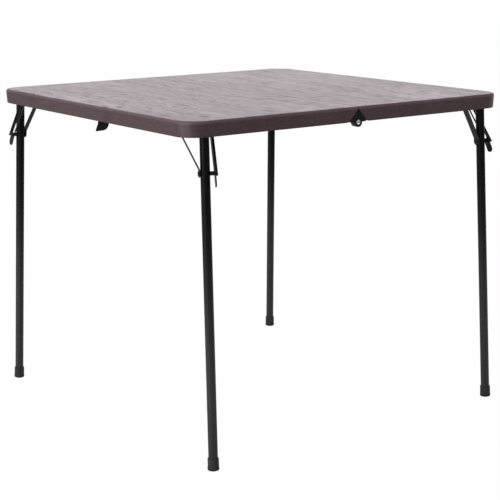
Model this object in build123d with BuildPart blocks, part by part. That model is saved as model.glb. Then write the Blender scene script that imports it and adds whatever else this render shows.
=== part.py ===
from build123d import *
from math import atan2, cos, degrees, hypot, radians, sin, sqrt
import os

os.makedirs("parts", exist_ok=True)

# A square card table whose moulded top folds in half along a seam. Each half carries two steel legs
# that swing up into its underside. Millimetres. The origin is on the floor under the table's centre,
# +Z is up, the seam runs along Y, and the whole table is the same after half a turn about Z.

# Driving dimensions of the open table
table_side = 860.0
table_height = 737.0
rim_height = 33.0
corner_radius = 50.0
side_inset = 2.0
top_edge_radius = 5.5
panel_thickness = 7.0
rim_width = 8.0
seam_wall = 8.0
seam_gap = 0.5
seam_edge_radius = 1.2
fold_gap = 1.0
cavity_corner_radius = 42.0
cavity_seam_radius = 3.0
cut_overrun = 1.0

# Legs and feet
tube_radius = 10.0
tube_wall = 1.2
cap_radius = 12.6
cap_top_radius = 11.9
cap_height = 26.0
cap_floor = 5.0
cap_edge = 3.0
cap_lip = 0.5
cap_lip_height = 2.5
cap_fit = 0.05
stow_clearance = 0.4
leg_lean = 2.85
tube_crown_radius = 10.4

# How far inside the top's sides each kind of leg stands, for the front right edge leg and the front
# left corner leg, whose strut ends near the cavity's corner
edge_inset = (38.8, 37.0)
edge_lean_heading = -23.6
edge_fold_heading = 90.0
corner_strut_inset = 18.8
corner_inset = 50.0
corner_lean_heading = -109.8
corner_fold_heading = 64.5

# Leg axle and its stamped bracket
axle_radius = 3.0
rivet_head_radius = 4.8
rivet_head_height = 1.5
hole_clearance = 0.08
sheet = 2.0
ear_radius = 8.5
ear_gap = 0.8
plate_margin = 2.4
plate_half_width = 13.0
plate_corner_radius = 2.0
arm_margin = 9.0

# Lateral strut from the axle down to the cross pin
strut_thickness = 2.5
strut_width = 15.5
strut_top_reach = 49.6
strut_foot_reach = 12.2
strut_top_bend = 6.7
strut_foot_rise = 8.0
strut_boss_radius = 5.5
strut_bend_radius = 3.0
strut_gap = 0.35
seat_gap = 0.2

# Cross pin through the leg
pin_radius = 3.0
pin_head_radius = 4.5
pin_head_height = 1.6
pin_collar_radius = 4.4

# Slotted brace with its release tail
brace_reach = 116.0
pin_drop_share = 0.802
web_inner = 19.0
web_thickness = 2.3
upper_rail = 5.6
lower_rail = 2.8
flange_depth = 5.6
flange_thickness = 2.0
eye_radius = 9.0
rail_end_reach = 9.5
tail_width = 15.0
tail_reach = 29.5
tail_bend = 10.0
slot_clearance = 0.4
brace_ear_gap = 0.3
flange_end_radius = 3.0
rider_radius = 4.1
rider_head_radius = 5.6
rider_head_height = 2.7
rider_gap = 0.2

# Hinges at both ends of the seam
knuckle_radius = 10.5
knuckle_clearance = 0.4
hinge_length = 12.7
knuckle_gap = 0.3
hinge_setback = 1.0
hinge_pin_radius = 2.5
hinge_head_radius = 5.0
hinge_head_height = 2.2
hinge_tail_radius = 3.5
hinge_tail_length = 1.1
notch_half_width = 21.0
notch_height = 29.0
notch_step = 5.0
scoop_half_width = 31.0
scoop_height = 1.6
leaf_clearance = 0.4
leaf_plate = 2.5
leaf_plate_start = 11.5
leaf_plate_width = 14.0
leaf_foot_length = 24.0

# Latch hook that hangs beside the rim, and the keeper that it catches
latch_inset = 17.5
hook_thickness = 5.0
hook_pivot_y = -61.0
hook_drop = 14.0
hook_reach = 33.0
hook_depth = 38.6
hook_corner_radius = 1.0
hook_outline_shares = (
    (0.62, -0.43),
    (0.66, -0.56),
    (1.0, -0.99),
    (0.88, -1.0),
    (0.1, -0.89),
    (-0.26, -0.78),
    (-0.46, -0.64),
    (-0.6, -0.47),
    (-0.22, 0.12),
    (0.22, 0.12),
)
hook_pin_radius = 2.5
hook_gap = 0.4
hook_ear_radius = 7.0
latch_plate_half = 9.5
keeper_y = 24.6
keeper_drop = 19.4
keeper_gap = 1.0
keeper_bar_radius = 2.5
keeper_ear_radius = 6.0

# Screws into the moulding
screw_radius = 1.7
screw_head_radius = 3.6
screw_head_height = 1.9
screw_bite = 5.0

rim_bottom = table_height - rim_height
underside = table_height - panel_thickness
hinge_axis_height = rim_bottom - fold_gap / 2
half_side = table_side / 2
latch_plane = half_side - latch_inset
inner_side = half_side - side_inset - rim_width
side_draft = degrees(atan2(side_inset, rim_height))
pivot_drop = cap_radius + stow_clearance
pivot_height = underside - pivot_drop
pin_drop = brace_reach * pin_drop_share
outer_ear = strut_top_reach + strut_thickness / 2 + strut_gap
edge_pivot = (half_side - edge_inset[0], edge_inset[1] - half_side)
corner_pivot = (outer_ear + corner_strut_inset - half_side, corner_inset - half_side)

# The leg's length puts the rim of its leaning foot's flat on the floor
foot_flat = cap_radius - cap_edge
lean = radians(leg_lean)
leg_length = (pivot_height - foot_flat * sin(lean)) / cos(lean)


def heading(angle):
    return Vector(cos(radians(angle)), sin(radians(angle)), 0)


class Station:
    """The planes in which one leg, its bracket and its brace are drawn."""

    def __init__(self, pivot, lean_heading, fold_heading):
        origin = Vector(pivot[0], pivot[1], pivot_height)
        up = Vector(0, 0, 1)
        leg = heading(lean_heading) * sin(lean) - up * cos(lean)
        fold = heading(fold_heading)
        axle = leg.cross(fold).normalized()
        rise = axle.cross(fold)
        self.origin = origin
        self.axle = axle
        self.fold = fold
        self.swing = leg.get_angle(fold)
        tilt = radians(self.swing - 90)
        self.pin_fold = -pin_drop * sin(tilt)
        self.pin_rise = -pin_drop * cos(tilt)
        self.brace_fold = self.pin_fold + sqrt(brace_reach**2 - self.pin_rise**2)
        self.stow_reach = pin_drop - self.brace_fold
        self.brace_pivot = origin + fold * self.brace_fold
        down_slot = fold * (self.pin_fold - self.brace_fold) + rise * self.pin_rise
        self.slot = down_slot.normalized()
        self.brace_swing = degrees(atan2(-self.pin_rise, self.pin_fold - self.brace_fold))
        self.leg_plane = Plane(origin=origin, x_dir=axle, z_dir=leg * -1)
        self.ear_plane = Plane(origin=origin, x_dir=fold, z_dir=axle)
        self.level_plane = Plane(origin=origin, x_dir=fold.cross(up), z_dir=up)
        self.brace_plane = Plane(origin=self.brace_pivot, x_dir=axle, z_dir=self.slot * -1)


edge = Station(edge_pivot, edge_lean_heading, edge_fold_heading)
corner = Station(corner_pivot, corner_lean_heading, corner_fold_heading)
ear_inner = tube_radius + ear_gap
web_outer = web_inner + web_thickness
brace_ear = web_inner - brace_ear_gap - sheet
arm_left = ear_inner - sheet
arm_right = web_outer
slot_width = rider_radius * 2 + slot_clearance
hook_inner = hook_thickness / 2 + hook_gap
keeper_inner = hook_thickness / 2 + keeper_gap
leaf_x = leaf_plate_start + leaf_plate_width / 2
leaf_screw_y = inner_side - leaf_foot_length * 2 / 3


def bracket_screws(station):
    """Screw places on a leg bracket, in its level plane."""
    inset = plate_half_width - screw_head_radius * 3 / 2
    far = outer_ear - screw_head_radius * 2
    near = ear_inner + sheet + screw_head_radius * 2
    return [(-far, -inset), (-near, inset), ((arm_left + arm_right) / 2, station.brace_fold / 2)]


def latch_screws(y, inner):
    """Screw places on a bracket beside the left rim."""
    x = inner + sheet + screw_head_radius * 3 / 2 - latch_plane
    return [(x, y - latch_plate_half / 2), (x, y + latch_plate_half / 2)]


def screw_places():
    """Every screw of the right half, with the plate that it holds."""
    places = []
    for station, turned in ((edge, 1), (corner, -1)):
        for across, along in bracket_screws(station):
            spot = station.level_plane.from_local_coords(Vector(across, along, 0))
            places.append((spot.X * turned, spot.Y * turned, sheet))
    for x, y in latch_screws(hook_pivot_y, hook_inner) + latch_screws(keeper_y, keeper_inner):
        places.append((-x, -y, sheet))
    places.append((leaf_x, -leaf_screw_y, leaf_plate))
    places.append((leaf_x, leaf_screw_y, leaf_plate))
    return places


# One half of the top: a moulded slab with a deep rim, open underneath so that the legs lie inside it
with BuildPart() as right_half:
    with BuildSketch(Plane.XY.offset(rim_bottom)):
        lower_side = table_side - side_inset * 2
        RectangleRounded(lower_side, lower_side, corner_radius - side_inset)
    extrude(amount=rim_height, taper=-side_draft)
    fillet(right_half.faces().sort_by(Axis.Z)[-1].edges(), top_edge_radius)
    split(bisect_by=Plane.YZ.offset(seam_gap / 2), keep=Keep.TOP)
    seam_face = right_half.faces().filter_by(Axis.X).sort_by(Axis.X)[0]
    fillet(seam_face.edges().filter_by(Axis.Y).sort_by(Axis.Z)[-1], seam_edge_radius)
    # The cavity that the folded legs lie in
    cavity_start = seam_gap / 2 + seam_wall
    cavity_width = inner_side - cavity_start
    with BuildSketch(Plane.XY.offset(rim_bottom)) as cavity:
        with Locations((cavity_start + cavity_width / 2, 0)):
            Rectangle(cavity_width, inner_side * 2)
        fillet(cavity.vertices().group_by(Axis.X)[-1], cavity_corner_radius)
        fillet(cavity.vertices().group_by(Axis.X)[0], cavity_seam_radius)
    extrude(amount=underside - rim_bottom, mode=Mode.SUBTRACT)
    # The rim ends are notched around the hinges, with a shallow scoop beside each notch
    for end in (Plane.XZ, Plane.XZ.reverse()):
        hinge_back = half_side - hinge_setback - hinge_length - hinge_tail_length
        notch_start = hinge_back - knuckle_clearance
        with BuildSketch(Plane(origin=end.z_dir * notch_start, x_dir=Plane.XZ.x_dir, z_dir=end.z_dir)):
            with BuildLine():
                rise = rim_bottom if end.z_dir.Y < 0 else -rim_bottom
                turn = 1 if end.z_dir.Y < 0 else -1
                Polyline(
                    (0, rise - turn * cut_overrun),
                    (scoop_half_width, rise - turn * cut_overrun),
                    (scoop_half_width, rise),
                    (notch_half_width + scoop_height / 2, rise + turn * scoop_height),
                    (notch_half_width, rise + turn * notch_step),
                    (0, rise + turn * notch_height),
                    close=True,
                )
            make_face()
        extrude(amount=half_side - notch_start + cut_overrun, mode=Mode.SUBTRACT)
    # Pilot holes for the screws
    with BuildSketch(Plane.XY.offset(underside)):
        with Locations(*[place[:2] for place in screw_places()]):
            Circle(screw_radius + hole_clearance)
    extrude(amount=screw_bite + hole_clearance, mode=Mode.SUBTRACT)


def pan_head_screw(plate):
    """A screw with its head under a plate, point upward, from the plate's lower face."""
    with BuildPart() as screw:
        with BuildSketch(Plane.XY.offset(-screw_head_height)):
            Circle(screw_head_radius)
        extrude(amount=screw_head_height)
        chamfer(screw.edges().group_by(Axis.Z)[0], screw_head_height / 2)
        with BuildSketch():
            Circle(screw_radius)
        extrude(amount=plate + screw_bite)
    return screw.part


with BuildPart() as right_screws:
    for x, y, plate in screw_places():
        with Locations((x, y, underside - plate)):
            add(pan_head_screw(plate))


def hinge_leaf(outer_knuckle):
    """A leaf of the front hinge on the right half, with the outer or the inner knuckle."""
    front = half_side - hinge_setback
    middle = front - hinge_length / 2
    back = front - hinge_length
    own_length = hinge_length / 2 - knuckle_gap / 2
    own_start = middle + knuckle_gap / 2 if outer_knuckle else back
    other_start = back - cut_overrun if outer_knuckle else middle - knuckle_gap / 2
    other_length = hinge_length / 2 + knuckle_gap / 2 + cut_overrun
    with BuildPart() as leaf:
        # The nose that fills the notch in the rim
        with BuildSketch(Plane.XZ.offset(back)):
            with BuildLine():
                Polyline(
                    (leaf_clearance, rim_bottom),
                    (notch_half_width - leaf_clearance, rim_bottom),
                    (notch_half_width - leaf_clearance * 2, rim_bottom + notch_step - leaf_clearance),
                    (leaf_clearance, rim_bottom + notch_height - leaf_clearance * 4),
                    close=True,
                )
            make_face()
        extrude(amount=hinge_length)
        # The plate behind the rim and the foot that is screwed under the panel
        with BuildSketch(Plane.XZ.offset(inner_side - seat_gap - leaf_plate)):
            with Locations((leaf_x, (rim_bottom + notch_step + underside) / 2)):
                Rectangle(leaf_plate_width, underside - rim_bottom - notch_step)
        extrude(amount=leaf_plate)
        with BuildSketch(Plane.XY.offset(underside - leaf_plate)):
            with Locations((leaf_x, seat_gap + leaf_foot_length / 2 - inner_side)):
                Rectangle(leaf_plate_width, leaf_foot_length)
            with Locations((leaf_x, -leaf_screw_y)):
                Circle(screw_radius + hole_clearance, mode=Mode.SUBTRACT)
        extrude(amount=leaf_plate)
        # Room for the other leaf's knuckle, then this leaf's own knuckle and its bore
        with BuildSketch(Plane.XZ.offset(other_start)):
            with Locations((0, hinge_axis_height)):
                Circle(knuckle_radius + knuckle_clearance)
        extrude(amount=other_length, mode=Mode.SUBTRACT)
        with BuildSketch(Plane.XZ.offset(own_start)):
            with Locations((0, hinge_axis_height)):
                Circle(knuckle_radius)
        extrude(amount=own_length)
        with BuildSketch(Plane.XZ.offset(back - cut_overrun)):
            with Locations((0, hinge_axis_height)):
                Circle(hinge_pin_radius + hole_clearance)
        extrude(amount=hinge_length + cut_overrun * 2, mode=Mode.SUBTRACT)
    return leaf.part


right_inner_leaf = hinge_leaf(False)
left_outer_leaf = hinge_leaf(True).mirror(Plane.YZ)

# The hinge pin of the front hinge: a bevelled head outside and a riveted tail inside
with BuildPart() as hinge_pin:
    tail_end_y = hinge_length + hinge_tail_length
    with BuildSketch():
        with BuildLine():
            Polyline(
                (0, -hinge_head_height),
                (0, tail_end_y),
                (hinge_tail_radius, tail_end_y),
                (hinge_tail_radius, hinge_length),
                (hinge_pin_radius, hinge_length),
                (hinge_pin_radius, 0),
                (hinge_head_radius, 0),
                (hinge_head_radius, -hinge_head_height / 2),
                (hinge_head_radius - hinge_head_height / 2, -hinge_head_height),
                close=True,
            )
        make_face()
    revolve(axis=Axis.Y)
front_pin = hinge_pin.part.moved(Location((0, hinge_setback - half_side, hinge_axis_height)))

# The leg: a thin tube with a rounded crown around the axle, and cross holes for axle and pin
with BuildPart() as leg_tube:
    with BuildSketch(Plane.XY.offset(cap_floor - leg_length)):
        Circle(tube_radius)
        Circle(tube_radius - tube_wall, mode=Mode.SUBTRACT)
    extrude(amount=leg_length - cap_floor + tube_crown_radius)
    with BuildSketch(Plane.YZ):
        with Locations((0, tube_crown_radius)):
            Rectangle(tube_crown_radius * 2, tube_crown_radius * 2)
        Circle(tube_crown_radius, mode=Mode.SUBTRACT)
    extrude(amount=tube_radius + cut_overrun, both=True, mode=Mode.SUBTRACT)
    with BuildSketch(Plane.YZ):
        Circle(axle_radius + hole_clearance)
        with Locations((0, -pin_drop)):
            Circle(pin_radius + hole_clearance)
    extrude(amount=tube_radius + cut_overrun, both=True, mode=Mode.SUBTRACT)

# The foot: a moulded cap with a thicker lip round its base, whose edge is eased in two flats
with BuildPart() as foot_cap:
    lip_top = cap_edge + cap_lip_height - leg_length
    edge_step = cap_edge * (1 - sqrt(0.5))
    with BuildSketch(Plane.XZ):
        with BuildLine():
            Polyline(
                (0, -leg_length),
                (foot_flat, -leg_length),
                (cap_radius - edge_step, edge_step - leg_length),
                (cap_radius, cap_edge - leg_length),
                (cap_radius, lip_top),
                (cap_radius - cap_lip, lip_top + cap_lip),
                (cap_top_radius, cap_height - leg_length),
                (tube_radius + cap_fit, cap_height - leg_length),
                (tube_radius + cap_fit, cap_floor - leg_length),
                (0, cap_floor - leg_length),
                close=True,
            )
        make_face()
    revolve(axis=Axis.Z)

# The lateral strut: a strip bent twice, from the axle down to the cross pin, with a pressed boss
with BuildPart() as strut:
    half_strip = strut_thickness / 2
    with BuildSketch(Plane.XZ.offset(-strut_width / 2)):
        with BuildLine():
            FilletPolyline(
                (-strut_top_reach - half_strip, strut_width / 2),
                (-strut_top_reach - half_strip, -strut_top_bend),
                (-strut_foot_reach - half_strip, strut_foot_rise - pin_drop),
                (-strut_foot_reach - half_strip, -pin_drop - strut_width / 2),
                radius=strut_bend_radius,
            )
            offset(amount=strut_thickness, side=Side.LEFT)
        make_face()
    extrude(amount=strut_width)
    with BuildSketch(Plane.YZ.offset(-strut_top_reach - strut_thickness)):
        with Locations((0, -pin_drop / 2)):
            SlotCenterToCenter(pin_drop, strut_width, rotation=90)
    extrude(amount=strut_top_reach, mode=Mode.INTERSECT)
    with BuildSketch(Plane.YZ.offset(-strut_foot_reach)):
        with Locations((0, -pin_drop)):
            Circle(strut_boss_radius)
    extrude(amount=strut_foot_reach - tube_radius - seat_gap)
    with BuildSketch(Plane.YZ.offset(-strut_top_reach - strut_thickness)):
        Circle(axle_radius + hole_clearance)
        with Locations((0, -pin_drop)):
            Circle(pin_radius + hole_clearance)
    extrude(amount=strut_top_reach, mode=Mode.SUBTRACT)


def turned_rod(steps):
    """A rod along X from steps of start, end and radius."""
    with BuildPart() as rod:
        for start, end, radius in steps:
            with BuildSketch(Plane.YZ.offset(start)):
                Circle(radius)
            extrude(amount=end - start)
    return rod.part


# The axle through the bracket's ears, the leg and the strut
axle_left = -outer_ear - sheet
axle_right = ear_inner + sheet
leg_axle = turned_rod(
    [
        (axle_left - rivet_head_height, axle_left, rivet_head_radius),
        (axle_left, axle_right, axle_radius),
        (axle_right, axle_right + rivet_head_height, rivet_head_radius),
    ]
)

# The cross pin: its head holds the strut's foot, and its collar reaches out to the brace
strut_face = -strut_foot_reach - strut_thickness / 2
pin_end = web_inner - rider_gap
cross_pin = turned_rod(
    [
        (strut_face - pin_head_height, strut_face, pin_head_radius),
        (strut_face, pin_end, pin_radius),
        (tube_radius + seat_gap, pin_end, pin_collar_radius),
    ]
).moved(Location((0, 0, -pin_drop)))

# The brace: one pressed strip with a slot, a broad flanged rail, a thin rail and a tail to lift it by
slot_top = slot_width / 2 + slot_clearance - min(edge.stow_reach, corner.stow_reach)
slot_bottom = -brace_reach - slot_width / 2 - slot_clearance / 2
rail_outer = slot_width / 2 + upper_rail
rail_inner = slot_width / 2 + lower_rail
rail_end = -brace_reach - rail_end_reach
tail_line = tail_reach - tail_width / 2
tail_turn = radians(tail_bend)
with BuildPart() as brace:
    with BuildSketch(Plane.YZ.offset(web_inner)) as web:
        with Locations(((rail_inner - rail_outer) / 2, rail_end / 2)):
            Rectangle(rail_inner + rail_outer, -rail_end)
        fillet(web.vertices().group_by(Axis.Y)[-1].sort_by(Axis.X)[0], eye_radius)
        Circle(eye_radius)
        with Locations((tail_line / 2 * sin(tail_turn), -brace_reach - tail_line / 2 * cos(tail_turn))):
            SlotCenterToCenter(tail_line, tail_width, rotation=tail_bend - 90)
        with Locations((0, (slot_top + slot_bottom) / 2)):
            SlotOverall(slot_top - slot_bottom, slot_width, rotation=90, mode=Mode.SUBTRACT)
        Circle(axle_radius + hole_clearance, mode=Mode.SUBTRACT)
    extrude(amount=web_thickness)
    with BuildSketch(Plane.XY.offset(rail_end)):
        with Locations((web_inner + flange_depth / 2, flange_thickness / 2 - rail_outer)):
            Rectangle(flange_depth, flange_thickness)
    extrude(amount=-rail_end - eye_radius)
    flange_edge = brace.edges().filter_by(Axis.Y).group_by(Axis.X)[-1].sort_by(Axis.Z)[-1]
    fillet(flange_edge, flange_end_radius)

# The pivot rivet of the brace, and the rider: the headed bush that runs in the slot
brace_rivet = turned_rod(
    [
        (brace_ear - rivet_head_height, brace_ear, rivet_head_radius),
        (brace_ear, web_outer + rider_gap, axle_radius),
        (web_outer + rider_gap, web_outer + rider_gap + rivet_head_height, rivet_head_radius),
    ]
)
rider = turned_rod(
    [
        (web_inner - rider_gap / 2, web_outer + rider_gap, rider_radius),
        (web_outer + rider_gap, web_outer + rider_gap + rider_head_height, rider_head_radius),
    ]
).moved(Location((0, 0, -brace_reach)))


def leg_bracket(station):
    """The stamped bracket: a screwed plate with two ears for the axle, one for the strut's end, and an
    arm with the ear of the brace."""
    with BuildPart() as bracket:
        ears = [(start, 0) for start in (-outer_ear - sheet, -ear_inner - sheet, ear_inner)]
        for start, along in ears + [(brace_ear, station.brace_fold)]:
            with BuildSketch(station.ear_plane.offset(start)):
                with Locations((along, 0)):
                    Circle(ear_radius)
                with Locations((along, pivot_drop)):
                    Rectangle(ear_radius * 2, pivot_drop * 2)
                with Locations((along, 0)):
                    Circle(axle_radius + hole_clearance, mode=Mode.SUBTRACT)
            extrude(amount=sheet)
        split(bisect_by=Plane.XY.offset(underside - sheet / 2), keep=Keep.BOTTOM)
        plate_left = -outer_ear - sheet - plate_margin
        plate_right = ear_inner + sheet + plate_margin
        arm_end = station.brace_fold + arm_margin
        with BuildSketch(station.level_plane.offset(pivot_drop - sheet)) as base:
            with Locations(((plate_left + plate_right) / 2, 0)):
                Rectangle(plate_right - plate_left, plate_half_width * 2)
            with Locations(((arm_left + arm_right) / 2, arm_end / 2)):
                Rectangle(arm_right - arm_left, arm_end)
            fillet(base.vertices(), plate_corner_radius)
            with Locations(*bracket_screws(station)):
                Circle(screw_radius + hole_clearance, mode=Mode.SUBTRACT)
        extrude(amount=sheet)
    return bracket.part


def beside_rim(y, drop):
    """A plane across the left rim with its origin on a pivot or bar, X along Y and Y upward."""
    origin = (-latch_plane, y, underside - drop)
    return Plane(origin=origin, x_dir=Plane.YZ.x_dir, z_dir=Plane.YZ.z_dir)


def rim_bracket(y, drop, inner, ear):
    """A U bracket under the panel beside the left rim, with two rounded ears."""
    with BuildPart() as bracket:
        for start in (-inner - sheet, inner):
            with BuildSketch(beside_rim(y, drop).offset(start)):
                Circle(ear)
                with Locations((0, (drop - sheet / 2) / 2)):
                    Rectangle(ear * 2, drop - sheet / 2)
            extrude(amount=sheet)
        plate_left = -latch_plane - inner - sheet
        plate_right = inner + sheet + screw_head_radius * 3 - latch_plane
        with BuildSketch(Plane.XY.offset(underside - sheet)) as base:
            with Locations(((plate_left + plate_right) / 2, y)):
                Rectangle(plate_right - plate_left, latch_plate_half * 2)
            fillet(base.vertices().group_by(Axis.X)[-1], plate_corner_radius)
            with Locations(*latch_screws(y, inner)):
                Circle(screw_radius + hole_clearance, mode=Mode.SUBTRACT)
        extrude(amount=sheet)
    return bracket.part


# The latch hook of the left rim: a flat fin with a beak, hanging from its pin
with BuildPart() as latch_hook:
    with BuildSketch(beside_rim(hook_pivot_y, hook_drop).offset(-hook_thickness / 2)) as fin:
        with BuildLine():
            Polyline(*[(y * hook_reach, z * hook_depth) for y, z in hook_outline_shares], close=True)
        make_face()
        fillet(fin.vertices(), hook_corner_radius)
        Circle(hook_pin_radius + hole_clearance, mode=Mode.SUBTRACT)
    extrude(amount=hook_thickness)

with BuildPart() as latch_bracket:
    add(rim_bracket(hook_pivot_y, hook_drop, hook_inner, hook_ear_radius))
    with BuildSketch(beside_rim(hook_pivot_y, hook_drop).offset(-hook_inner - sheet)):
        Circle(hook_pin_radius + hole_clearance)
    extrude(amount=(hook_inner + sheet) * 2, mode=Mode.SUBTRACT)

latch_end = hook_inner + sheet
latch_pin = turned_rod(
    [
        (-latch_end - rivet_head_height, -latch_end, rivet_head_radius),
        (-latch_end, latch_end, hook_pin_radius),
        (latch_end, latch_end + rivet_head_height, rivet_head_radius),
    ]
).moved(Location((-latch_plane, hook_pivot_y, underside - hook_drop)))

# The keeper of the left rim: a bar held between two ears
with BuildPart() as keeper:
    add(rim_bracket(keeper_y, keeper_drop, keeper_inner, keeper_ear_radius))
    with BuildSketch(beside_rim(keeper_y, keeper_drop).offset(-keeper_inner - sheet)):
        Circle(keeper_bar_radius)
    extrude(amount=(keeper_inner + sheet) * 2)


def half_turn(part):
    """The same piece on the opposite side of the table."""
    return part.rotate(Axis.Z, 180)


def save(part, name):
    part.label = name
    export_step(part, f"parts/{name}.step")


save(right_half.part, "right_tabletop_half")
save(half_turn(right_half.part), "left_tabletop_half")
save(right_screws.part, "right_half_screws")
save(half_turn(right_screws.part), "left_half_screws")
save(left_outer_leaf, "front_hinge_left_leaf")
save(right_inner_leaf, "front_hinge_right_leaf")
save(front_pin, "front_hinge_pin")
save(half_turn(left_outer_leaf), "back_hinge_right_leaf")
save(half_turn(right_inner_leaf), "back_hinge_left_leaf")
save(half_turn(front_pin), "back_hinge_pin")
for side, turned in (("left", False), ("right", True)):
    for piece, name in (
        (latch_hook.part, "latch_hook"),
        (latch_bracket.part, "latch_bracket"),
        (latch_pin, "latch_pin"),
        (keeper.part, "latch_keeper"),
    ):
        save(half_turn(piece) if turned else piece, f"{side}_{name}")

for place, station, turned in (
    ("front_right", edge, False),
    ("back_left", edge, True),
    ("front_left", corner, False),
    ("back_right", corner, True),
):
    seated = [(leg_bracket(station), "leg_bracket")]
    for piece, name in (
        (leg_tube.part, "leg_tube"),
        (foot_cap.part, "foot_cap"),
        (strut.part, "lateral_strut"),
        (cross_pin, "cross_pin"),
    ):
        seated.append((piece.moved(station.leg_plane.location), name))
    axle_plane = Plane(origin=station.origin, x_dir=station.axle, z_dir=station.axle.cross(station.fold))
    seated.append((leg_axle.moved(axle_plane.location), "leg_axle"))
    rivet_plane = Plane(origin=station.brace_pivot, x_dir=station.axle, z_dir=axle_plane.z_dir)
    seated.append((brace_rivet.moved(rivet_plane.location), "brace_rivet"))
    for piece, name in ((brace.part, "slotted_brace"), (rider, "slot_rider")):
        seated.append((piece.moved(station.brace_plane.location), name))
    for piece, name in seated:
        save(half_turn(piece) if turned else piece, f"{place}_{name}")
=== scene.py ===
import bpy
import bmesh
import math
from mathutils import Matrix, Vector


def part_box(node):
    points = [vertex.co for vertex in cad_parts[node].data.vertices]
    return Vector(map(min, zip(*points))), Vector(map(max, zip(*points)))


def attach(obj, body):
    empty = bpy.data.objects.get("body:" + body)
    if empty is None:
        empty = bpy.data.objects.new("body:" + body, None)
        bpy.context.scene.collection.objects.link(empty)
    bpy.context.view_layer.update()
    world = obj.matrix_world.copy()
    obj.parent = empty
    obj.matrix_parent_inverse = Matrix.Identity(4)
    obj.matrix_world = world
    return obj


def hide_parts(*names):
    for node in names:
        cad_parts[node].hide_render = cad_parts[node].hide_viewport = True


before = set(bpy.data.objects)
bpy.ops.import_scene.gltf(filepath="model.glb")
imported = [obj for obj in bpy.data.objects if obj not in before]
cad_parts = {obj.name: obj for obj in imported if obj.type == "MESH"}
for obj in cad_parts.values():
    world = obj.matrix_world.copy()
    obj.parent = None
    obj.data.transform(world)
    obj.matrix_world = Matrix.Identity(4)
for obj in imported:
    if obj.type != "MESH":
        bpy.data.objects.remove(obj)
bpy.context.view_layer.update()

# The two halves of the top. Each is blow-moulded in dark brown plastic, with a wood grain embossed in its
# flat face that runs along the seam. The rim is smooth, with a painted sheen at its shoulder and a painted
# shade at its foot.
rim_foot, face_level = (corner[2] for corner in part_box("left_tabletop_half"))
face_edge = face_level - 0.0035, face_level - 0.0008
painted_sheen_band = face_level - 0.0080, face_level - 0.0025
painted_shade_band = rim_foot + 0.0002, rim_foot + 0.0030
face_dark, face_light = (0.060, 0.022, 0.036), (0.140, 0.068, 0.101)
pore_brown = (0.022, 0.012, 0.015)
rim_dark, rim_light = (0.043, 0.0155, 0.021), (0.055, 0.0225, 0.0285)
pale_speck, dark_speck = (0.074, 0.031, 0.034), (0.026, 0.012, 0.015)
# A painted sheen for the rim's shoulder and a painted shade for its foot
painted_shoulder_sheen = (0.140, 0.088, 0.096)
painted_foot_shade = (0.016, 0.010, 0.011)
embossed_depth = 0.0005
growth_line_rate = 430.0
right_half_shift = 0.37


class Finish:
    """A material in the making, with short words for the nodes that it is built from."""

    def __init__(self, name):
        self.material = bpy.data.materials.new(name)
        self.material.use_nodes = True
        self.nodes = self.material.node_tree.nodes
        self.links = self.material.node_tree.links
        self.shader = self.nodes["Principled BSDF"]

    def feed(self, socket, value):
        """Sets a socket to a number or a colour, or links it to another node."""
        if isinstance(value, bpy.types.NodeSocket):
            self.links.new(value, socket)
        elif isinstance(value, tuple):
            socket.default_value = (*value, 1)
        else:
            socket.default_value = value

    def give(self, quality, value):
        """Sets or links one quality of the surface."""
        self.feed(self.shader.inputs[quality], value)

    def place(self):
        """Object coordinates, which are the table's own."""
        return self.nodes.new("ShaderNodeTexCoord").outputs["Object"]

    def axes(self):
        """The three object coordinates, each as a value."""
        split = self.nodes.new("ShaderNodeSeparateXYZ")
        self.links.new(self.place(), split.inputs["Vector"])
        return split.outputs

    def noise(self, rate, detail, roughness=0.55, where=None):
        """Noise with a rate per metre, the same on every axis or one for each."""
        mapping = self.nodes.new("ShaderNodeMapping")
        mapping.inputs["Scale"].default_value = rate if isinstance(rate, tuple) else (rate, rate, rate)
        self.links.new(where or self.place(), mapping.inputs["Vector"])
        texture = self.nodes.new("ShaderNodeTexNoise")
        texture.inputs["Scale"].default_value = 1.0
        texture.inputs["Detail"].default_value = detail
        texture.inputs["Roughness"].default_value = roughness
        self.links.new(mapping.outputs["Vector"], texture.inputs["Vector"])
        return texture.outputs["Fac"]

    def spread(self, value, low, high, to_low=0.0, to_high=1.0):
        """A value moved from one range to another, and kept inside it."""
        node = self.nodes.new("ShaderNodeMapRange")
        node.interpolation_type = "SMOOTHSTEP"
        for socket, setting in zip(node.inputs, (value, low, high, to_low, to_high)):
            self.feed(socket, setting)
        return node.outputs["Result"]

    def worked(self, kind, *values):
        """One step of arithmetic on values or numbers."""
        node = self.nodes.new("ShaderNodeMath")
        node.operation = kind
        for socket, value in zip(node.inputs, values):
            self.feed(socket, value)
        return node.outputs["Value"]

    def times(self, first, second):
        """One value or number times another."""
        return self.worked("MULTIPLY", first, second)

    def weighed(self, total, *shares):
        """A starting value and, on top of it, a sum of patterns that are each taken by their share."""
        for pattern, share in shares:
            total = self.worked("MULTIPLY_ADD", pattern, share, total)
        return total

    def blended(self, share, first, second):
        """One colour passing into another by a share."""
        node = self.nodes.new("ShaderNodeMix")
        node.data_type = "RGBA"
        for number, value in ((0, share), (6, first), (7, second)):
            self.feed(node.inputs[number], value)
        return node.outputs[2]

    def emboss(self, height, depth):
        """Raises and sinks the surface by a pattern, to a depth in metres."""
        bump = self.nodes.new("ShaderNodeBump")
        bump.inputs["Distance"].default_value = depth
        self.links.new(height, bump.inputs["Height"])
        self.links.new(bump.outputs["Normal"], self.shader.inputs["Normal"])


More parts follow.
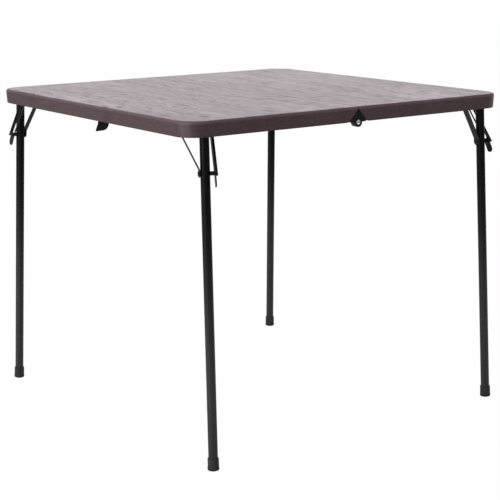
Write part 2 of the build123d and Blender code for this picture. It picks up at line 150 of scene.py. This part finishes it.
def moulded_wood(name, shift):
    """Brown plastic with its grain along Y, moved sideways so that the halves differ."""
    wood = Finish(name)
    x, y, z = wood.axes()
    # Long slow waves bend the grain, and smaller ones make it wander
    slow_wave = wood.noise((4.2, 1.1, 1.0), 1.0)
    quick_wave = wood.noise((17.0, 3.4, 1.0), 3.0)
    across = wood.weighed(shift, (x, 1.0), (slow_wave, 0.30), (quick_wave, 0.045))
    grain_place = wood.nodes.new("ShaderNodeCombineXYZ")
    wood.feed(grain_place.inputs["X"], across)
    wood.feed(grain_place.inputs["Y"], y)
    along_grain = grain_place.outputs["Vector"]
    # Broad bands, fine fibre, long streaks, and short dark pores that gather in patches
    bands = wood.noise((26.0, 0.8, 1.0), 2.0, 0.5, along_grain)
    fibre = wood.noise((190.0, 20.0, 1.0), 5.0, 0.65, along_grain)
    streaks = wood.spread(wood.noise((95.0, 15.0, 1.0), 3.0, 0.6, along_grain), 0.55, 0.68)
    patches = wood.noise((11.0, 4.0, 4.0), 3.0)
    pores = wood.spread(wood.noise((240.0, 24.0, 1.0), 2.0, 0.5, along_grain), 0.60, 0.68)
    pores = wood.times(pores, wood.spread(patches, 0.40, 0.62, 0.15, 1.0))
    # Growth lines that come and go in arches
    arches = wood.spread(wood.noise((6.5, 2.2, 1.0), 2.0), 0.5, 0.66)
    ripple = wood.worked("SINE", wood.times(across, growth_line_rate))
    growth_lines = wood.times(wood.weighed(0.5, (ripple, 0.5)), arches)
    # Where the flat face ends, the grain fades to a faint drag, and the rim has a fine speckle
    on_face = wood.spread(z, *face_edge)
    on_rim = wood.worked("SUBTRACT", 1.0, on_face)
    stipple = wood.noise(1100.0, 2.0)
    speckle = wood.noise((190.0, 190.0, 304.0), 3.0, 0.6)
    grain = ((fibre, 0.55), (growth_lines, 0.45), (bands, 0.6), (pores, -0.9), (streaks, -0.8))
    height = wood.times(wood.weighed(0.0, *grain), wood.weighed(0.12, (on_face, 0.88)))
    height = wood.weighed(height, (stipple, 0.10), (wood.times(speckle, on_rim), 0.35))
    wood.emboss(height, embossed_depth)
    # The face is darkest in its pores
    tone = wood.weighed(0.0, (bands, 0.35), (fibre, 0.40), (patches, 0.25), (growth_lines, 0.12))
    tone = wood.spread(tone, 0.36, 0.70)
    face = wood.blended(tone, face_dark, face_light)
    face = wood.blended(wood.weighed(0.0, (pores, 0.60), (streaks, 0.34)), face, pore_brown)
    # The rim has a painted sheen at its shoulder and a painted shade at its foot
    rim = wood.blended(tone, rim_dark, rim_light)
    rim = wood.blended(wood.spread(speckle, 0.45, 0.62, 0.0, 0.45), rim, pale_speck)
    rim = wood.blended(wood.spread(speckle, 0.40, 0.55, 0.40, 0.0), rim, dark_speck)
    # Painted sheen near the rim's top edge, painted shade near its bottom edge
    shoulder = wood.spread(z, *painted_sheen_band, 0.0, 0.85)
    rim = wood.blended(shoulder, rim, painted_shoulder_sheen)
    foot = wood.spread(z, *painted_shade_band, 0.8, 0.0)
    rim = wood.blended(foot, rim, painted_foot_shade)
    wood.give("Base Color", wood.blended(on_face, rim, face))
    wear = ((tone, -0.07), (pores, 0.12), (streaks, 0.12), (patches, 0.08), (on_face, 0.12))
    wood.give("Roughness", wood.weighed(0.35, *wear))
    return wood.material


def dress(words, finish):
    """Gives a finish to each node of the frame whose name holds one of the words."""
    for name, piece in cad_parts.items():
        if any(word in name for word in words):
            piece.data.materials.clear()
            piece.data.materials.append(finish)


dress(["left_tabletop_half"], moulded_wood("left_moulded_wood_look", 0.0))
dress(["right_tabletop_half"], moulded_wood("right_moulded_wood_look", right_half_shift))

# The hinge leaves, two at each end of the seam. They are pressed steel with rolled knuckles, coated gloss
# black, and screwed up into the notch of the rim.
leaf_dark, leaf_light = (0.0012, 0.0012, 0.0014), (0.003, 0.003, 0.0034)
leaf_dimple = 0.00018
peel_rate, peel_depth = 900.0, 0.00006


def powder_coat(name, dark, light, rough, gleam=0.28, dimple=peel_depth):
    """A cloudy coat between two near blacks, with an orange peel as deep as its dimple."""
    coat = Finish(name)
    peel = coat.noise(peel_rate, 2.0)
    cloud = coat.noise(28.0, 4.0)
    coat.give("Base Color", coat.blended(coat.spread(cloud, 0.35, 0.7), dark, light))
    coat.give("Roughness", coat.spread(cloud, 0.3, 0.7, rough - 0.05, rough + 0.08))
    coat.give("Specular IOR Level", gleam)
    coat.emboss(peel, dimple)
    return coat.material


dress(["leaf"], powder_coat("gloss_black_hinge_coat", leaf_dark, leaf_light, 0.24, 0.22, leaf_dimple))

# The leg locks and the plates of the latches: brackets, axles, struts, cross pins, slotted braces, riders
# and keepers. They are stamped or turned mild steel in a satin black powder coat, riveted or screwed on.
steel_dark, steel_light = (0.0045, 0.0045, 0.005), (0.009, 0.009, 0.0095)
black_coat = powder_coat("satin_black_powder_coat", steel_dark, steel_light, 0.46)
dress(["leg_bracket", "leg_axle", "lateral_strut", "cross_pin", "brace", "slot_rider"], black_coat)
dress(["latch_bracket", "latch_pin", "latch_keeper"], black_coat)

# The four legs. Each is drawn steel tube with a rounded crown, hung on its axle and coated satin black,
# with painted shade: deep black under the top, paler and duller toward the floor.
coat_black, painted_lit_black = (0.0015, 0.0015, 0.0017), (0.021, 0.021, 0.0215)
painted_pale_below, painted_shade_above = 0.10, 0.62


def leg_coat(name):
    """A satin black coat with a peel like the steelwork's, and painted shade by its height off the floor."""
    coat = Finish(name)
    height = coat.axes()[2]
    cloud = coat.noise(24.0, 4.0)
    # Painted shade: the colour is deep black high up and grows paler toward the floor
    low = coat.spread(height, painted_pale_below, painted_shade_above, 1.0, 0.0)
    painted_paling = coat.times(low, coat.spread(cloud, 0.2, 0.8, 0.75, 1.0))
    coat.give("Base Color", coat.blended(painted_paling, coat_black, painted_lit_black))
    coat.give("Specular IOR Level", coat.spread(low, 0.0, 1.0, 0.10, 0.36))
    coat.give("Roughness", coat.spread(cloud, 0.3, 0.7, 0.36, 0.48))
    coat.emboss(coat.noise(peel_rate, 2.0), peel_depth)
    return coat.material


dress(["leg_tube"], leg_coat("satin_black_leg_coat"))

# The four foot caps. Each is moulded in matt black plastic with a closed floor and a thin lip round its
# mouth, and is pushed over the end of its tube.
foot_dark, foot_light = (0.018, 0.018, 0.0185), (0.031, 0.031, 0.032)
dress(["foot_cap"], powder_coat("matt_black_foot_plastic", foot_dark, foot_light, 0.58))

# The two latch hooks that hold the table shut. Each is moulded in a very dark plastic that hardly shines,
# and hangs on a pin in its bracket.
hook_dark, hook_light = (0.0012, 0.0012, 0.0013), (0.0028, 0.0028, 0.003)
dress(["latch_hook"], powder_coat("matt_black_hook_plastic", hook_dark, hook_light, 0.6, 0.06))

# The two hinge pins: turned steel rivets, zinc plated bright. Each has a domed head with a slot across it
# on the outside of the rim, and its tail is spread over the inner knuckle.
pin_shank, pin_head, pin_tail = 0.0025, 0.0050, 0.0035
pin_head_edge, pin_dome = 0.0003, 0.0019
pin_tail_length, pin_tail_edge, pin_tail_face = 0.0011, 0.0004, 0.0029
pin_slot_half_width, pin_slot_floor = 0.0008, 0.0009
pin_sides, pin_dome_steps = 40, 9
pin_head_height = pin_head_edge + pin_dome
zinc_dull, zinc_bright = (0.80, 0.80, 0.81), (0.93, 0.93, 0.92)
# A painted shade, near black, for the faces inside the slots and cross recesses
recess_shade_dark, recess_shade_light = (0.012, 0.012, 0.012), (0.04, 0.038, 0.035)
past_head = 0.001
same_spot = 0.000001
slot_slack = 0.02
crisp_angle = 35


def zinc_plate(name):
    """Bright metal with a fine cloud in its colour and polish."""
    zinc = Finish(name)
    cloud = zinc.noise(260.0, 3.0)
    zinc.give("Base Color", zinc.blended(cloud, zinc_dull, zinc_bright))
    zinc.give("Roughness", zinc.spread(cloud, 0.3, 0.7, 0.20, 0.38))
    zinc.give("Metallic", 1.0)
    zinc.emboss(cloud, 0.00002)
    return zinc.material


def added(name, mesh):
    """A new object in the scene that shows a mesh."""
    piece = bpy.data.objects.new(name, mesh)
    bpy.context.scene.collection.objects.link(piece)
    return piece


def finished_mesh(name, form):
    """The mesh that a bmesh has shaped."""
    mesh = bpy.data.meshes.new(name)
    form.to_mesh(mesh)
    form.free()
    return mesh


def turned(name, profile, steps):
    """A turned piece about Z, from points of radius and height that start and end on its axis."""
    form = bmesh.new()
    corners = [form.verts.new((radius, 0, height)) for radius, height in profile]
    sides = [form.edges.new(pair) for pair in zip(corners, corners[1:])]
    bmesh.ops.spin(form, geom=corners + sides, cent=(0, 0, 0), axis=(0, 0, 1), angle=math.tau,
                   steps=steps, use_merge=True)
    bmesh.ops.remove_doubles(form, verts=form.verts, dist=same_spot)
    bmesh.ops.recalc_face_normals(form, faces=form.faces)
    return added(name, finished_mesh(name, form))


def dome(radius, base, rise, steps):
    """Points of radius and height from the edge of a dome up to its top."""
    ball = (radius * radius + rise * rise) / (2 * rise)
    points = []
    for step in range(steps):
        across = radius * math.cos(math.pi / 2 * step / steps)
        points.append((across, base + math.sqrt(ball * ball - across * across) - ball + rise))
    return points + [(0, base + rise)]


def slot_cutter(half_length, half_width, floor, top):
    """A box along X that cuts a slot into a head, down to its floor."""
    form = bmesh.new()
    bmesh.ops.create_cube(form, size=2.0)
    bmesh.ops.scale(form, vec=(half_length, half_width, (top - floor) / 2), verts=form.verts)
    bmesh.ops.translate(form, vec=(0, 0, (top + floor) / 2), verts=form.verts)
    return added("recess", finished_mesh("recess", form))


def recessed(piece, cutters, half_width, floor, crossed):
    """Cuts the slots out of a piece and gives the faces inside them a painted shade of near black."""
    for cutter in cutters:
        cut = piece.modifiers.new("recess", "BOOLEAN")
        cut.operation = "DIFFERENCE"
        cut.solver = "EXACT"
        cut.object = cutter
    bpy.context.view_layer.update()
    shape = bpy.data.meshes.new_from_object(piece.evaluated_get(bpy.context.evaluated_depsgraph_get()))
    piece.modifiers.clear()
    piece.data = shape
    for cutter in cutters:
        bpy.data.objects.remove(cutter)
    shape.materials.append(bright_zinc)
    shape.materials.append(slot_painted_shade)
    reach, lowest = half_width * (1 + slot_slack), floor * (1 - slot_slack)
    for face in shape.polygons:
        spot = face.center
        inside = abs(spot.y) < reach or crossed and abs(spot.x) < reach
        face.material_index = 1 if inside and spot.z > lowest else 0


def smooth_but_crisp(mesh):
    """Shades round faces smooth and keeps the sharper edges crisp."""
    mesh.shade_smooth()
    mesh.set_sharp_from_angle(angle=math.radians(crisp_angle))


bright_zinc = zinc_plate("bright_zinc_plate")
# The slots and cross recesses are given a painted shade
slot_painted_shade = powder_coat("painted_shade_in_recesses", recess_shade_dark, recess_shade_light, 0.6)
for node in ("front_hinge_pin", "back_hinge_pin"):
    low, high = (Vector(corner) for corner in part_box(node))
    middle = (low + high) / 2
    outward = -1 if node.startswith("front") else 1
    rim_face = (high.y if outward > 0 else low.y) - outward * pin_head_height
    tail_end = pin_head_height - (high.y - low.y)
    tail_start = tail_end + pin_tail_length
    profile = [(0, tail_end), (pin_tail_face, tail_end), (pin_tail, tail_end + pin_tail_edge)]
    profile += [(pin_tail, tail_start), (pin_shank, tail_start), (pin_shank, 0)]
    profile += [(pin_head - pin_head_edge, 0)] + dome(pin_head, pin_head_edge, pin_dome, pin_dome_steps)
    pin = turned(node + "_slotted", profile, pin_sides)
    slot = slot_cutter(pin_head + past_head, pin_slot_half_width, pin_slot_floor, pin_head_height + past_head)
    recessed(pin, [slot], pin_slot_half_width, pin_slot_floor, False)
    facing = Vector((0, 0, 1)).rotation_difference(Vector((0, outward, 0))).to_matrix().to_4x4()
    pin.data.transform(Matrix.Translation((middle.x, rim_face, middle.z)) @ facing)
    smooth_but_crisp(pin.data)
    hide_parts(node)
    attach(pin, "left_half")

# The screws under the top: pan heads with a cross recess, zinc plated. They hold the leg brackets, the
# latch brackets, the keepers and the hinge leaves up against the moulding.
screw_head, screw_head_edge, screw_dome = 0.0036, 0.0007, 0.0012
screw_head_height = screw_head_edge + screw_dome
thread_crest, thread_root, thread_pitch, thread_turns = 0.0017, 0.0013, 0.0007, 3
thread_flank = 0.0003
screw_point, screw_point_length = 0.0004, 0.0023
screw_sides, screw_dome_steps = 24, 6
cross_half_length, cross_half_width = 0.0019, 0.00035
turn_between_screws = 0.9


def island_boxes(mesh):
    """The lowest and highest corner of each separate solid of a mesh."""
    form = bmesh.new()
    form.from_mesh(mesh)
    bmesh.ops.remove_doubles(form, verts=form.verts, dist=same_spot)
    unseen = set(form.verts)
    boxes = []
    while unseen:
        places, waiting = [], [unseen.pop()]
        while waiting:
            corner = waiting.pop()
            places.append(corner.co)
            for side in corner.link_edges:
                other = side.other_vert(corner)
                if other in unseen:
                    unseen.remove(other)
                    waiting.append(other)
        low = Vector([min(place[axis] for place in places) for axis in range(3)])
        high = Vector([max(place[axis] for place in places) for axis in range(3)])
        boxes.append((low, high))
    form.free()
    return sorted(boxes, key=lambda pair: (round(pair[0].x, 4), round(pair[0].y, 4)))


def pan_head_screw(length):
    """A screw with its head up, its point down and the underside of its head at zero."""
    point = screw_head_height - length
    profile = [(0, point), (screw_point, point), (thread_crest, point + screw_point_length)]
    for number in range(thread_turns):
        crest = point + screw_point_length + thread_pitch * number
        profile += [(thread_root, crest + thread_flank), (thread_crest, crest + 2 * thread_flank)]
    profile += [(thread_crest, 0), (screw_head, 0)]
    profile += dome(screw_head, screw_head_edge, screw_dome, screw_dome_steps)
    screw = turned("screw", profile, screw_sides)
    top = screw_head_height + past_head
    cross = [slot_cutter(cross_half_length, cross_half_width, screw_head_edge, top),
             slot_cutter(cross_half_width, cross_half_length, screw_head_edge, top)]
    recessed(screw, cross, cross_half_width, screw_head_edge, True)
    return screw


for side in ("left", "right"):
    node = side + "_half_screws"
    joined = bmesh.new()
    for number, (low, high) in enumerate(island_boxes(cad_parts[node].data)):
        screw = pan_head_screw(high.z - low.z)
        seat = Matrix.Translation(((low.x + high.x) / 2, (low.y + high.y) / 2, low.z + screw_head_height))
        point_up = Matrix.Rotation(math.pi, 4, "X")
        screw.data.transform(seat @ Matrix.Rotation(turn_between_screws * number, 4, "Z") @ point_up)
        joined.from_mesh(screw.data)
        bpy.data.objects.remove(screw)
    screws = added(node + "_recessed", finished_mesh(node + "_recessed", joined))
    screws.data.materials.append(bright_zinc)
    screws.data.materials.append(slot_painted_shade)
    smooth_but_crisp(screws.data)
    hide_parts(node)
    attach(screws, side + "_half")

# The studio: a white floor and air that the camera sees as plain white, a large soft lamp on the left,
# one overhead, and a pale wall of light behind that the top mirrors at a low angle.
scene = bpy.context.scene
scene.view_settings.view_transform = "Standard"
floor_reach = 12.0
white_seen_on_floor = 0.985
air_light = 0.42


def white_to_camera(nodes, links, share, lit, white, output):
    """Shows the camera a share of plain white, and the lit surface or air to everything else."""
    rays = nodes.new("ShaderNodeLightPath")
    part = nodes.new("ShaderNodeMath")
    part.operation = "MULTIPLY"
    part.inputs[1].default_value = share
    links.new(rays.outputs["Is Camera Ray"], part.inputs[0])
    mix = nodes.new("ShaderNodeMixShader")
    links.new(part.outputs["Value"], mix.inputs["Fac"])
    links.new(lit.outputs[0], mix.inputs[1])
    links.new(white.outputs[0], mix.inputs[2])
    links.new(mix.outputs["Shader"], nodes[output].inputs["Surface"])


slab = bmesh.new()
bmesh.ops.create_grid(slab, x_segments=1, y_segments=1, size=floor_reach)
floor = added("studio_floor", finished_mesh("studio_floor", slab))
studio_white = Finish("studio_white")
studio_white.give("Base Color", (0.9, 0.9, 0.9))
studio_white.give("Roughness", 1.0)
studio_white.give("Specular IOR Level", 0.0)
glow = studio_white.nodes.new("ShaderNodeEmission")
glow.inputs["Strength"].default_value = 1.0
nodes, links = studio_white.nodes, studio_white.links
white_to_camera(nodes, links, white_seen_on_floor, studio_white.shader, glow, "Material Output")
floor.data.materials.append(studio_white.material)

scene.world = bpy.data.worlds.new("studio_air")
scene.world.use_nodes = True
nodes, links = scene.world.node_tree.nodes, scene.world.node_tree.links
air, seen_air = nodes["Background"], nodes.new("ShaderNodeBackground")
for background, strength in ((air, air_light), (seen_air, 1.0)):
    background.inputs["Color"].default_value = (1, 1, 1, 1)
    background.inputs["Strength"].default_value = strength
white_to_camera(nodes, links, 1.0, air, seen_air, "World Output")


def soft_lamp(name, place, aim, width, height, power):
    """A rectangular lamp that faces its aim."""
    lamp = bpy.data.lights.new(name, "AREA")
    lamp.shape = "RECTANGLE"
    lamp.size, lamp.size_y = width, height
    lamp.energy = power
    holder = bpy.data.objects.new(name, lamp)
    holder.location = place
    holder.rotation_euler = (Vector(aim) - Vector(place)).to_track_quat("-Z", "Y").to_euler()
    scene.collection.objects.link(holder)


soft_lamp("left_softbox", (-3.4, -0.4, 1.1), aim=(0, 0, 0.6), width=3.2, height=2.0, power=62)
soft_lamp("overhead_softbox", (0.2, 0.6, 3.4), aim=(0, 0, 0.7), width=2.6, height=2.6, power=40)
soft_lamp("back_wall", (2.9, 4.5, 2.2), aim=(0, 0, 0.9), width=7.0, height=4.0, power=174)

# The photograph's camera, worked out from the edges of the top, the feet and the leg lines. It stands
# to the front and left of the table, a little above its top, and looks slightly down.
camera_place = (-1.8241, -2.6305, 1.0691)
camera_tilt, camera_roll, camera_heading = 77.3016, 0.5140, -35.0845
camera = bpy.data.objects.new("camera", bpy.data.cameras.new("camera"))
camera.data.sensor_width = 36
camera.data.lens = 96.88
camera.data.clip_end = 60
camera.location = camera_place
camera.rotation_euler = [math.radians(angle) for angle in (camera_tilt, camera_roll, camera_heading)]
scene.collection.objects.link(camera)
scene.camera = camera
